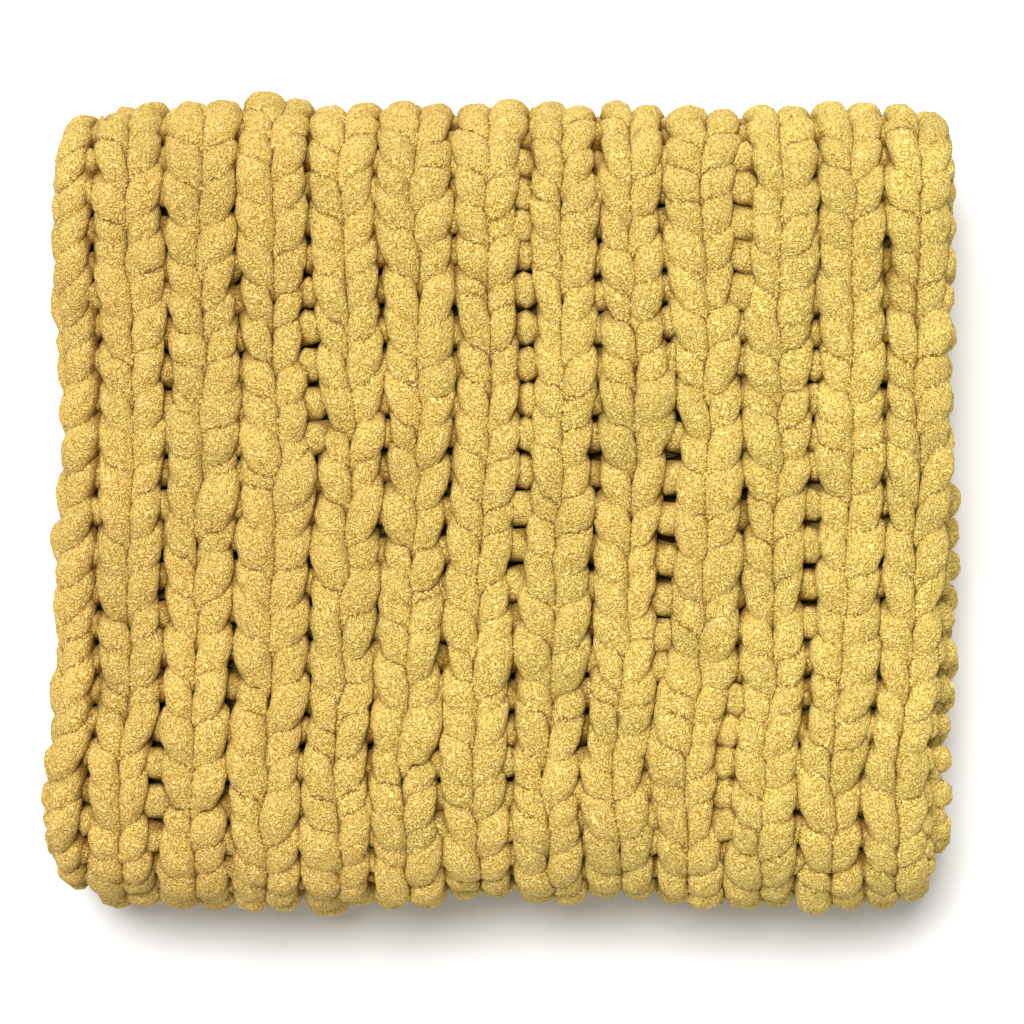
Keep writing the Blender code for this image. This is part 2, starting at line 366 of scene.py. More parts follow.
@dataclass
class Tension:
    """The uneven pull of a hand-knitted cloth, from one seed."""

    seed: int = 11
    bows: tuple[Bow, ...] = (
        Bow(0.2, 0.4, 0.7, 0.7),
        Bow(0.1, -1.8, -3.0, -1.0),
        Bow(0.1, -0.1, -2.9, 1.8),
        Bow(-2.5, 2.8, -1.6, 4.0),
        Bow(-5.7, 3.2, -2.8, -0.2),
        Bow(-1.9, -0.9, -5.9, 0.0),
        Bow(-2.6, 0.8, -6.5, -1.0),
        Bow(-1.3, -2.0, 0.0, -1.5),
        Bow(-4.5, 0.9, -2.4, -2.4),
        Bow(0.6, 0.0, 1.5, 1.0),
        Bow(3.7, -0.9, -0.4, 3.2),
        Bow(-1.4, 0.2, 0.3, -2.3),
    )
    bow_places: tuple[float, ...] = (-0.260, -0.182, -0.099, 0.054, 0.208, 0.290)
    open_ladders: tuple[WideLadder, ...] = (
        WideLadder(6, 0.236, -0.054, 0.0085),
        WideLadder(9, 0.236, 0.131, 0.0105),
        WideLadder(9, -0.112, -0.221, 0.0105),
        WideLadder(3, 0.131, 0.029, 0.0080),
        WideLadder(8, 0.042, -0.112, 0.0085),
        WideLadder(10, 0.010, -0.086, 0.0085),
        WideLadder(1, -0.154, -0.224, 0.0075),
    )
    ladder_width: float = 0.0021
    gape_width: float = 0.0052
    wander: float = 0.0018
    uneven_rise: float = 0.0030
    uneven_leg: float = 0.0030
    uneven_girth: float = 0.075
    uneven_height: float = 0.0016
    uneven_slant: float = 0.065
    uneven_lag: float = 0.0024
    slip: float = 0.0042
    waves: int = 4
    bulge: float = 0.0013
    bulge_share: float = 1.5
    uneven_centre: float = 0.0010
    wave_lengths: tuple[float, float] = (0.12, 0.55)
    wave_sizes: tuple[float, float] = (0.3, 1.0)
    slip_lengths: tuple[float, float] = (0.14, 0.60)
    bulge_lengths: tuple[float, float] = (0.10, 0.40)
    held_end: float = 0.08
    rng: np.random.Generator = field(init=False)

    def __post_init__(self) -> None:
        """Draw the waves of the ladders and the unevenness of each stitch."""
        self.rng = np.random.default_rng(self.seed)
        uniform, normal = self.rng.uniform, self.rng.normal
        turn = (0.0, 2.0 * math.pi)
        shape, stitches, legs = (WALES + 1, self.waves), (ROWS, WALES), (ROWS, WALES, 2)
        self.phase = uniform(*turn, shape)
        self.length = uniform(*self.wave_lengths, shape)
        self.size = uniform(*self.wave_sizes, shape) * self.wander / math.sqrt(self.waves)
        self.rise = normal(0.0, self.uneven_rise, stitches)
        self.leg_reach = normal(0.0, self.uneven_leg, legs)
        self.girth = 1.0 + normal(0.0, self.uneven_girth, legs)
        self.height = normal(0.0, self.uneven_height, legs)
        self.gape = uniform(0.0, 1.0, (ROWS, WALES + 1))
        self.centre = normal(0.0, self.uneven_centre, stitches)
        self.lag = normal(0.0, self.uneven_lag, (WALES, 2))
        self.slip_phase = uniform(*turn, shape)
        self.slip_length = uniform(*self.slip_lengths, shape)
        self.slant = normal(0.0, self.uneven_slant, legs)
        self.bar = normal(0.0, 1.0, (ROWS, WALES + 1))
        self.bulge_phase = uniform(*turn, shape)
        self.bulge_length = uniform(*self.bulge_lengths, shape)
        self.tone = normal(0.0, 1.0, stitches)

    def ladder_at(self, ladder: np.ndarray, along: np.ndarray) -> np.ndarray:
        """Return where ladders lie across the cloth.

        Args:
            ladder: the number of each ladder, from 0 at the lower selvage to WALES.
            along: the distance along the cloth at which each is asked for.

        Returns:
            The distances across the cloth.
        """
        number = ladder.astype(int)
        angle = 2.0 * math.pi * along[..., None] / self.length[number] + self.phase[number]
        shift = (self.size[number] * np.sin(angle)).sum(axis=-1)
        true = FIRST_LADDER + (ladder - self.first_upper) * WALE
        inner = np.clip(np.minimum(true, CLOTH_WIDTH - true) / WALE, 0.0, 1.0)
        return np.clip(true, 0.0, CLOTH_WIDTH) + shift * inner + self.bow_at(number, along)

    def bow_at(self, number: np.ndarray, along: np.ndarray) -> np.ndarray:
        """Return how far ladders of the top panel bow across the cloth.

        Args:
            number: the number of each ladder.
            along: the distance along the cloth at which each is asked for.

        Returns:
            The shifts in metres, 0 away from the top panel.
        """
        y = along - TOP_START + FRONT_Y
        shift = np.zeros_like(along)
        for index, bow in enumerate(self.bows):
            sizes = (0.0, bow.front, bow.near, bow.middle, bow.far, 0.0)
            bent = np.interp(y, self.bow_places, sizes) / 1000.0
            shift = np.where(number == self.first_upper + index, bent, shift)
        return shift

    def shift_at(self, column: np.ndarray, along: float) -> np.ndarray:
        """Return how far columns of stitches have slipped along the cloth.

        Args:
            column: the number of each column.
            along: the distance along the cloth at which they are asked for.

        Returns:
            The shifts in metres.
        """
        angle = 2.0 * math.pi * along / self.slip_length[column] + self.slip_phase[column]
        held = eased(along / self.held_end) * eased((CLOTH_LENGTH - along) / self.held_end)
        return self.slip * held * np.sin(angle).sum(axis=-1) / math.sqrt(self.waves / 2.0)

    def bulge_at(self, column: np.ndarray, along: np.ndarray) -> np.ndarray:
        """Return how far columns of stitches stand out of the cloth at places along it."""
        angle = 2.0 * math.pi * along[..., None] / self.bulge_length[column]
        return self.bulge * np.sin(angle + self.bulge_phase[column]).sum(axis=-1) / self.bulge_share

    @property
    def first_upper(self) -> int:
        """The number of the ladder that lies where the upper half begins."""
        return int(FIRST_LADDER // WALE)

    def gap_at(self, ladder: np.ndarray, along: np.ndarray, row: np.ndarray) -> np.ndarray:
        """Return how wide ladders stand open.

        Args:
            ladder: the number of each ladder.
            along: the distance along the cloth at which each is asked for.
            row: the row of stitches at that place.

        Returns:
            The widths between the two columns of stitches.
        """
        gap = self.ladder_width + self.gape_width * self.gape[row, ladder.astype(int)] ** 2
        for wide in self.open_ladders:
            start = TOP_START + wide.near - FRONT_Y
            end = TOP_START + wide.far - FRONT_Y
            inside = eased((along - start) / ROW + 0.5) * eased((end - along) / ROW + 0.5)
            gap = gap + np.where(ladder == wide.ladder + self.first_upper, wide.width * inside, 0.0)
        return gap


@dataclass(frozen=True)
class LoopPoint:
    """A point that the yarn passes in one half of a stitch."""

    lane: float
    along: float
    up: float
    half_width: float
    samples: int


class Detail(Enum):
    """How finely a patch of the yarn is made: sides of the yarn and share of the samples."""

    CLOSE = (16, 1.0)
    SIDE = (11, 0.55)
    HIDDEN = (5, 0.25)


# One half of a stitch, from the middle of the ladder at its foot to the middle of its head.
# lane is the share of the way from the column's middle to its ladder.
HALF_LOOP = (
    LoopPoint(1.000, -0.0062, -0.0060, 0.0084, 2),
    LoopPoint(0.640, -0.0075, -0.0080, 0.0078, 1),
    LoopPoint(0.225, -0.0076, -0.0016, 0.0072, 3),
    LoopPoint(0.330, 0.0010, 0.0022, 0.0096, 3),
    LoopPoint(0.450, 0.0104, 0.0037, 0.0112, 4),
    LoopPoint(0.565, 0.0198, 0.0028, 0.0114, 4),
    LoopPoint(0.622, 0.0284, -0.0006, 0.0102, 2),
    LoopPoint(0.560, 0.0338, -0.0056, 0.0086, 2),
)
HEAD = LoopPoint(0.000, 0.0362, -0.0096, 0.0082, 2)
# The rounded end of a row at a selvage: how far outside the ladder each point is, and half-width.
KNOB = ((-0.0035, 0.0106), (0.0012, 0.0097), (0.0048, 0.0070), (0.0068, 0.0036))
KNOB_UP = -0.0025
# One stitch of the first or last row's edge: share of the way across, along, up and half-width.
EDGE_STITCH = (
    (0.26, 0.0016, 0.0012, 0.0112),
    (0.50, -0.0010, -0.0012, 0.0088),
    (0.74, 0.0016, 0.0012, 0.0112),
)
# Where the first and the last row's edge lies along the cloth: in its stitches and its ladders.
EDGE_AT = ((-0.0135, -0.0155), (0.0365, 0.0325))
# The height and half-width of that edge in a ladder.
EDGE_DIP = (-0.0026, 0.0084)


@dataclass
class Patch:
    """A block of the cloth's stitches, made as one piece."""

    name: str
    rows: tuple[int, int]
    columns: tuple[int, int]
    detail: Detail
    is_edge: bool = False


@dataclass(frozen=True)
class Run:
    """The points of the yarn in one row: across, along, up, half-width, tone, lane and side."""

    points: np.ndarray
    row: int
    is_beside: bool


def smooth_path(points: np.ndarray, samples: np.ndarray) -> np.ndarray:
    """Draw a smooth path through points.

    Args:
        points: rows of coordinates and of anything else that is carried along.
        samples: how many points to make from each given point to the next.

    Returns:
        The rows of the path.
    """
    ends = np.vstack((2.0 * points[0] - points[1], points, 2.0 * points[-1] - points[-2]))
    made = []
    for index in range(len(points) - 1):
        before, start, end, after = ends[index : index + 4]
        steps = np.arange(samples[index]) / samples[index]
        t = steps[:, None]
        made.append(
            0.5
            * (
                2.0 * start
                + (end - before) * t
                + (2.0 * before - 5.0 * start + 4.0 * end - after) * t**2
                + (3.0 * start - before - 3.0 * end + after) * t**3
            )
        )
    made.append(points[-1:])
    return np.vstack(made)


@dataclass
class Yarn:
    """The yarn of the whole cloth: where it runs in each row of stitches."""

    cloth: FoldedCloth
    tension: Tension
    # Painted shade: near the cloth's edges the depth that sets the crease shade is raised by up to
    # edge_lift, over edge_reach, so the edges are not darkened.
    edge_lift: float = 0.010
    edge_reach: float = 0.022
    loops_begin: float = 0.009
    rise_at_foot: float = 0.4
    slant_pivot: float = 0.35
    crowded_girth: tuple[float, float] = (0.80, 1.06)
    wide_ladder: float = 0.010
    wide_bar_girth: float = 0.38
    wide_bar_rise: float = 0.0036
    uneven_bar_girth: float = 0.05
    uneven_bar_rise: float = 0.0008
    uneven_knob: float = 0.08
    uneven_knob_out: float = 0.0018
    knob_samples: tuple[int, int, int] = (2, 2, 2)
    uneven_edge: float = 0.05
    edge_samples: int = 5

    def course(self, row: int, columns: tuple[int, int], detail: Detail) -> np.ndarray:
        """Work out the yarn of one row of stitches between two columns, on the flat.

        Args:
            row: the row, from 0 at the cast-on edge.
            columns: the first column and the one past the last.
            detail: how finely the yarn is made.

        Returns:
            Rows of across, along, up, half-width, tone, lane and side.
        """
        pull = self.tension
        count = columns[1] - columns[0]
        column = np.arange(columns[0], columns[1])
        rows = np.full(count, row)
        base = self.base(row)
        points, samples = [], []
        for spot, side, following in self.loop():
            leg = 0 if side < 0 else 1
            inner = 0.0 < spot.lane < 1.0
            part = spot.along / HEAD.along
            rise = self.rise_at_foot + (1.0 - self.rise_at_foot) * part
            along = base + spot.along + pull.rise[row, column] * rise
            along = along + inner * max(0.0, part) * pull.leg_reach[row, column, leg]
            along = along + pull.shift_at(column, base) + inner * pull.lag[column, leg]
            if spot.lane == 1.0:
                beside = np.clip(column + side, 0, WALES - 1)
                apart = pull.shift_at(beside, base) - pull.shift_at(column, base)
                along = along + apart / 2.0
            left = pull.ladder_at(column, along)
            right = pull.ladder_at(column + 1, along)
            middle = (left + right) / 2.0 + pull.centre[row, column]
            ladder = column if side < 0 else column + 1
            edge = left if side < 0 else right
            gap = pull.gap_at(ladder, along, rows)
            lane = np.abs(edge - middle) - gap / 2.0
            slant = inner * (part - self.slant_pivot) * pull.slant[row, column, leg]
            across = middle + side * (spot.lane + slant) * lane
            up = spot.up + inner * pull.height[row, column, leg] + pull.bulge_at(column, along)
            half = spot.half_width * (1.0 + inner * (pull.girth[row, column, leg] - 1.0))
            half = half * np.clip(lane / (WALE / 2.0), *self.crowded_girth)
            if spot.lane == 1.0:
                across = edge
                half, up = self.bar(gap, pull.bar[row, ladder])
            place = np.full((count, 2), (spot.lane, side * inner))
            points.append(np.column_stack((across, along, up, half, pull.tone[row, column], place)))
            samples.append(max(1, round(following * detail.value[1])))
        block = np.stack(points, axis=1).reshape(-1, 7)
        counts = np.tile(samples, count)
        block = np.vstack((block, self.last_bar(row, columns[1])))
        block, counts = self.tucked(block, counts, row, columns)
        return smooth_path(block, counts)

    def base(self, row: int) -> float:
        """Return how far along the cloth a row's loops begin."""
        return (row + 0.5) * ROW - self.loops_begin

    @staticmethod
    def loop() -> list[tuple[LoopPoint, int, int]]:
        """List one stitch's points in order.

        Returns:
            Each point with its side of the stitch and the samples that follow it.
        """
        up = [(spot, -1, spot.samples) for spot in HALF_LOOP]
        after = [spot.samples for spot in HALF_LOOP[::-1]]
        down = [(spot, 1, count) for spot, count in zip(HALF_LOOP[:0:-1], after[1:])]
        return [*up, (HEAD, 1, HEAD.samples), *down]

    def bar(self, gap: np.ndarray, uneven: np.ndarray) -> tuple[np.ndarray, np.ndarray]:
        """Return the half-width and height of the yarn where it crosses ladders.

        Args:
            gap: how wide each ladder stands open.
            uneven: the unevenness of each bar, of about 1.

        Returns:
            The half-widths and heights.
        """
        spot = HALF_LOOP[0]
        wide = np.clip(gap / self.wide_ladder, 0.0, 1.0)
        girth = 1.0 + self.wide_bar_girth * wide + self.uneven_bar_girth * uneven
        up = spot.up + self.wide_bar_rise * wide + self.uneven_bar_rise * uneven
        return spot.half_width * girth, up

    def last_bar(self, row: int, ladder: int) -> np.ndarray:
        """Return the point that ends a row of stitches, in the ladder past its last column.

        Args:
            row: the row of stitches.
            ladder: the number of the ladder.

        Returns:
            One row of across, along, up, half-width, tone, lane and side.
        """
        pull = self.tension
        inside = min(ladder, WALES - 1)
        part = HALF_LOOP[0].along / HEAD.along
        share = self.rise_at_foot + (1.0 - self.rise_at_foot) * part
        rise = pull.rise[row, inside] * share
        number = np.array([ladder])
        sides = np.clip(np.array((ladder - 1, ladder)), 0, WALES - 1)
        shift = pull.shift_at(sides, self.base(row)).mean()
        along = np.array([self.base(row) + HALF_LOOP[0].along + rise + shift])
        across = pull.ladder_at(number, along)
        half, up = self.bar(pull.gap_at(number, along, np.array([row])), pull.bar[row, number])
        return np.array((across[0], along[0], up[0], half[0], pull.tone[row, inside], 1.0, 0.0))

    def tucked(
        self, block: np.ndarray, counts: np.ndarray, row: int, columns: tuple[int, int]
    ) -> tuple[np.ndarray, np.ndarray]:
        """Round off a row of stitches where it meets a selvage, and tuck its end under.

        Args:
            block: the points of the row.
            counts: the samples that follow each point but the last.
            row: the row of stitches.
            columns: the first column and the one past the last.

        Returns:
            The points and the samples, with those of the selvage.
        """
        if columns[1] == WALES:
            end = self.knob(block[-1, 0], 1.0, row)
            block = np.vstack((block[:-1], end))
            counts = np.append(counts, self.knob_samples)
        if columns[0] == 0:
            end = self.knob(block[0, 0], -1.0, row)
            block = np.vstack((end[::-1], block[1:]))
            counts = np.append(self.knob_samples, counts)
        return block, counts

    def knob(self, edge: float, side: float, row: int) -> np.ndarray:
        """Return the points of a row's rounded end at a selvage.

        Args:
            edge: where the selvage's ladder lies across the cloth.
            side: 1 at the upper selvage and -1 at the lower.
            row: the row of stitches.

        Returns:
            Rows of across, along, up, half-width, tone, lane and side, outward.
        """
        uneven = self.tension.bar[row, WALES if side > 0.0 else 0]
        along = self.base(row) + HALF_LOOP[0].along
        size = 1.0 + self.uneven_knob * uneven
        shift = self.uneven_knob_out * uneven
        rest = (uneven, 1.0, side)
        return np.array(
            [(edge + side * (out + shift), along, KNOB_UP, half * size, *rest) for out, half in KNOB]
        )

    def edge_run(self, row: int, columns: tuple[int, int], detail: Detail) -> np.ndarray:
        """Work out the yarn that finishes the first or last row of stitches, on the flat.

        Args:
            row: the first or the last row.
            columns: the first column and the one past the last.
            detail: how finely the yarn is made.

        Returns:
            Rows of across, along, up, half-width, tone, lane and side.
        """
        pull = self.tension
        middle_along, ladder_along = self.base(row) + np.array(EDGE_AT[row > 0])
        here = np.array([ladder_along])
        points = []
        for ladder in range(columns[0], columns[1] + 1):
            left = pull.ladder_at(np.array([ladder]), here)[0]
            points.append((left, ladder_along, EDGE_DIP[0], EDGE_DIP[1], 0.0, 1.0, 0.0))
            if ladder == columns[1]:
                continue
            right = pull.ladder_at(np.array([ladder + 1]), here)[0]
            for share, forth, up, half in EDGE_STITCH:
                uneven = pull.slant[row, ladder, int(share > 0.5)] / pull.uneven_slant
                size = half * (1.0 + self.uneven_edge * uneven)
                across = left + share * (right - left)
                points.append((across, middle_along + forth, up, size, uneven, 1.0, 0.0))
        count = max(2, round(self.edge_samples * detail.value[1]))
        return smooth_path(np.array(points), np.full(len(points) - 1, count))

    def runs(self, patch: Patch) -> list[Run]:
        """List the runs of yarn in a patch and next to it, on the flat.

        Args:
            patch: the block of stitches, or the finished edge of the first or last row.

        Returns:
            The runs, with the rows next to the patch marked as beside it.
        """
        first, past = patch.rows
        if patch.is_edge:
            edge = self.edge_run(first, patch.columns, patch.detail)
            row = self.course(first, patch.columns, patch.detail)
            return [Run(edge, first + 1, False), Run(row, first, True)]
        return [
            Run(self.course(row, patch.columns, patch.detail), row, not first <= row < past)
            for row in range(max(0, first - 1), min(ROWS, past + 1))
        ]

    def skeleton(self, patch: Patch) -> bpy.types.Mesh:
        """Make the line of the yarn in a patch, with its girth, facing and tone at each point.

        Args:
            patch: the block of stitches.

        Returns:
            A mesh of points and edges alone.
        """
        runs = self.runs(patch)
        flat = np.vstack([run.points for run in runs])
        counts = [len(run.points) for run in runs]
        edges, first = [], 0
        for count in counts:
            edges += [(first + step, first + step + 1) for step in range(count - 1)]
            first += count
        mesh = bpy.data.meshes.new(patch.name)
        mesh.from_pydata(self.cloth.place(flat[:, :3]).tolist(), edges, [])
        across, along = flat[:, 0], flat[:, 1]
        inside = np.minimum(
            np.minimum(across, CLOTH_WIDTH - across), np.minimum(along, CLOTH_LENGTH - along)
        )
        # How far the depth for the painted crease shade is raised near the cloth's edges.
        edge = self.edge_lift * np.clip(1.0 - inside / self.edge_reach, 0.0, 1.0)
        for name, kind, values in (
            ("yarn_height", "FLOAT", flat[:, 2]),
            ("yarn_girth", "FLOAT", flat[:, 3]),
            ("yarn_tone", "FLOAT", flat[:, 4]),
            ("yarn_edge", "FLOAT", edge),
            ("yarn_lane", "FLOAT", flat[:, 5]),
            ("yarn_side", "FLOAT", flat[:, 6]),
            ("yarn_odd", "FLOAT", np.repeat([run.row % 2 for run in runs], counts)),
            ("yarn_beside", "FLOAT", np.repeat([run.is_beside for run in runs], counts)),
            ("yarn_facing", "FLOAT_VECTOR", self.cloth.front(flat[:, :3])),
        ):
            layer = mesh.attributes.new(name, kind, "POINT")
            slot = "vector" if kind == "FLOAT_VECTOR" else "value"
            layer.data.foreach_set(slot, values.astype(np.float32).ravel())
        return mesh


@dataclass(frozen=True)
class YarnTree:
    """The geometry nodes that sweep the yarn's section along its line and raise its lumps."""

    core_depth: float = 0.004
    bar_lane: float = 0.80
    facing_away: float = -0.7
    crowding: float = 0.45
    squareness: float = 2.35
    flatness: float = 0.90
    lump_size: float = 0.0100
    lump_height: float = 0.0013
    tuft_size: float = 0.0042
    tuft_height: float = 0.0016
    seed: int = 5
    floor: float = 0.0002

    def build(self) -> bpy.types.NodeTree:
        """Build the tree.

        Returns:
            The node tree, with its sizes as named inputs.
        """
        tree = bpy.data.node_groups.new("sweep_yarn", "GeometryNodeTree")
        tree.is_modifier = True
        face = tree.interface
        face.new_socket("Geometry", in_out="INPUT", socket_type="NodeSocketGeometry")
        for name, kind, value in (
            ("Sides", "NodeSocketInt", 16),
            ("Crowding", "NodeSocketFloat", self.crowding),
            ("Squareness", "NodeSocketFloat", self.squareness),
            ("Flatness", "NodeSocketFloat", self.flatness),
            ("Lump Size", "NodeSocketFloat", self.lump_size),
            ("Lump Height", "NodeSocketFloat", self.lump_height),
            ("Tuft Size", "NodeSocketFloat", self.tuft_size),
            ("Tuft Height", "NodeSocketFloat", self.tuft_height),
            ("Seed", "NodeSocketInt", self.seed),
            ("Floor", "NodeSocketFloat", self.floor),
        ):
            face.new_socket(name, in_out="INPUT", socket_type=kind).default_value = value
        face.new_socket("Material", in_out="INPUT", socket_type="NodeSocketMaterial")
        face.new_socket("Geometry", in_out="OUTPUT", socket_type="NodeSocketGeometry")
        work = NodeWork(tree)
        given = work.add("NodeGroupInput")
        profile = self.profile(work, given)

        line = work.add("GeometryNodeMeshToCurve", Mesh=given.outputs["Geometry"])
        girth = work.attribute("yarn_girth")
        sized = work.add("GeometryNodeSetCurveRadius", Curve=line.outputs[0], Radius=girth)
        turned = work.add("GeometryNodeSetCurveNormal", Curve=sized.outputs[0])
        turned.mode = "FREE"
        work.fill(turned.inputs["Normal"], work.attribute("yarn_facing", "FLOAT_VECTOR"))
        parts = {"Profile Curve": profile, "Scale": girth, "Fill Caps": True}
        swept = work.add("GeometryNodeCurveToMesh", Curve=turned.outputs[0], **parts)
        # Each point's depth in the cloth, from which the material paints shade into the creases.
        marked = work.add("GeometryNodeStoreNamedAttribute", Geometry=swept.outputs["Mesh"])
        work.fill(marked.inputs["Name"], "crease_shade_depth")
        work.fill(marked.inputs["Value"], self.height(work, girth))
        lumps = self.lumps(work, given)
        raised = work.add(
            "GeometryNodeSetPosition", Geometry=marked.outputs["Geometry"], Offset=lumps
        )
        place = work.add("GeometryNodeInputPosition").outputs[0]
        split = work.add("ShaderNodeSeparateXYZ", Vector=place)
        above = work.maths("MAXIMUM", split.outputs["Z"], given.outputs["Floor"])
        joined = work.add(
            "ShaderNodeCombineXYZ", X=split.outputs["X"], Y=split.outputs["Y"], Z=above
        )
        rested = work.add(
            "GeometryNodeSetPosition", Geometry=raised.outputs[0], Position=joined.outputs[0]
        )
        seamed = self.seams(work, rested.outputs[0])
        smooth = work.add("GeometryNodeSetShadeSmooth", Geometry=seamed)
        real = work.add("GeometryNodeRealizeInstances", Geometry=smooth.outputs[0])
        dressed = work.add(
            "GeometryNodeSetMaterial",
            Geometry=real.outputs[0],
            Material=given.outputs["Material"],
        )
        work.add("NodeGroupOutput", Geometry=dressed.outputs[0])
        return tree

    def profile(self, work: NodeWork, given: bpy.types.Node) -> bpy.types.NodeSocket:
        """Add the yarn's section: a soft square, flatter and closer-sided on its knit side.

        Args:
            work: the tree in progress.
            given: the tree's input node.

        Returns:
            The socket that gives the section's curve.
        """
        ring = work.add(
            "GeometryNodeCurvePrimitiveCircle", Resolution=given.outputs["Sides"], Radius=1.0
        )
        index = work.add("GeometryNodeInputIndex").outputs[0]
        turn = work.maths("DIVIDE", index, given.outputs["Sides"])
        angle = work.maths("MULTIPLY", turn, 2.0 * math.pi)
        swing = work.maths("MULTIPLY", work.maths("SINE", angle), given.outputs["Crowding"])
        crowded = work.maths("SUBTRACT", angle, swing)
        power = work.maths("DIVIDE", 2.0, given.outputs["Squareness"])
        sides = []
        for kind in ("COSINE", "SINE"):
            value = work.maths(kind, crowded)
            size = work.maths("POWER", work.maths("ABSOLUTE", value), power)
            sides.append(work.maths("MULTIPLY", size, work.maths("SIGN", value)))
        depth = work.maths("MULTIPLY", sides[0], given.outputs["Flatness"])
        spot = work.add("ShaderNodeCombineXYZ", X=depth, Y=sides[1])
        moved = work.add(
            "GeometryNodeSetPosition", Geometry=ring.outputs["Curve"], Position=spot.outputs[0]
        )
        return moved.outputs[0]

    def height(self, work: NodeWork, girth: bpy.types.NodeSocket) -> bpy.types.NodeSocket:
        """Work out how far each point of the yarn's surface stands out of the cloth's core, for the
        painted crease shade.

        Args:
            work: the tree in progress.
            girth: the socket with the yarn's half-width.

        Returns:
            The socket that gives the distance.
        """
        normal = work.add("GeometryNodeInputNormal").outputs[0]
        facing = work.attribute("yarn_facing", "FLOAT_VECTOR")
        reach = work.maths("MULTIPLY", work.vector("DOT_PRODUCT", normal, facing), girth)
        raised = work.maths("ADD", work.attribute("yarn_height"), reach)
        depth = work.maths("ABSOLUTE", work.maths("ADD", raised, self.core_depth))
        return work.maths("ADD", depth, work.attribute("yarn_edge"))

    def seams(self, work: NodeWork, yarn: bpy.types.NodeSocket) -> bpy.types.NodeSocket:
        """Store how far each point stands clear of the next rows and of its stitch's other leg.

        Args:
            work: the tree in progress.
            yarn: the socket with the yarn of the patch and of the rows beside it.

        Returns:
            The socket with the yarn of the patch alone.
        """
        odd = work.maths("GREATER_THAN", work.attribute("yarn_odd"), 0.5)
        right = work.maths("GREATER_THAN", work.attribute("yarn_side"), 0.0)
        bar = work.maths("GREATER_THAN", work.attribute("yarn_lane"), self.bar_lane)
        # These distances set the painted shade lines along the seams in the material.
        rows = self.clearance(work, yarn, "row_clearance", odd, 0.0)
        legs = self.clearance(work, rows, "leg_clearance", right, bar)
        beside = work.maths("GREATER_THAN", work.attribute("yarn_beside"), 0.5)
        kept = work.add("GeometryNodeDeleteGeometry", Geometry=legs, Selection=beside)
        return kept.outputs[0]

    def clearance(
        self, work: NodeWork, yarn: bpy.types.NodeSocket, name: str, chosen: object, free: object
    ) -> bpy.types.NodeSocket:
        """Store how far two parts of the yarn stand clear of each other.

        Args:
            work: the tree in progress.
            yarn: the socket with both parts.
            name: the name under which the distance is stored, in metres and below 0 inside.
            chosen: 1 for one part and 0 for the other.
            free: what is added to the distance.

        Returns:
            The socket with both parts.
        """
        parts = work.add("GeometryNodeSeparateGeometry", Geometry=yarn, Selection=chosen)
        place = work.add("GeometryNodeInputPosition").outputs[0]
        normal = work.add("GeometryNodeInputNormal").outputs[0]
        distances = []
        for other in ("Selection", "Inverted"):
            near = work.add("GeometryNodeProximity", Geometry=parts.outputs[other])
            outward = work.add("GeometryNodeSampleNearestSurface", Mesh=parts.outputs[other])
            outward.data_type = "FLOAT_VECTOR"
            work.fill(outward.inputs["Value"], normal)
            apart = work.vector("SUBTRACT", place, near.outputs["Position"])
            clear = work.vector("DOT_PRODUCT", apart, outward.outputs["Value"])
            reach = near.outputs["Distance"]
            limit = work.maths("MULTIPLY", reach, self.facing_away)
            inside = work.maths("LESS_THAN", clear, limit)
            sign = work.maths("SUBTRACT", 1.0, work.maths("MULTIPLY", inside, 2.0))
            alone = work.maths("SUBTRACT", 1.0, outward.outputs["Is Valid"])
            distances.append(work.maths("ADD", work.maths("MULTIPLY", reach, sign), alone))
        to_chosen, to_rest = distances
        swap = work.maths("MULTIPLY", chosen, work.maths("SUBTRACT", to_rest, to_chosen))
        total = work.maths("ADD", work.maths("ADD", to_chosen, swap), free)
        stored = work.add("GeometryNodeStoreNamedAttribute", Geometry=yarn)
        work.fill(stored.inputs["Name"], name)
        work.fill(stored.inputs["Value"], total)
        return stored.outputs["Geometry"]

    def lumps(self, work: NodeWork, given: bpy.types.Node) -> bpy.types.NodeSocket:
        """Add the uneven surface of the pile.

        Args:
            work: the tree in progress.
            given: the tree's input node.

        Returns:
            The socket that gives how far each point moves.
        """
        heights = []
        for kind in ("Lump", "Tuft"):
            size = work.maths("DIVIDE", 1.0, given.outputs[f"{kind} Size"])
            noise = work.add("ShaderNodeTexNoise", Scale=size, Detail=1.0)
            noise.noise_dimensions = "4D"
            work.fill(noise.inputs["W"], given.outputs["Seed"])
            centred = work.maths("SUBTRACT", noise.outputs["Fac"], 0.5)
            tall = work.maths("MULTIPLY", given.outputs[f"{kind} Height"], 2.0)
            heights.append(work.maths("MULTIPLY", centred, tall))
        total = work.maths("ADD", *heights)
        normal = work.add("GeometryNodeInputNormal").outputs[0]
        return work.vector("SCALE", normal, total)


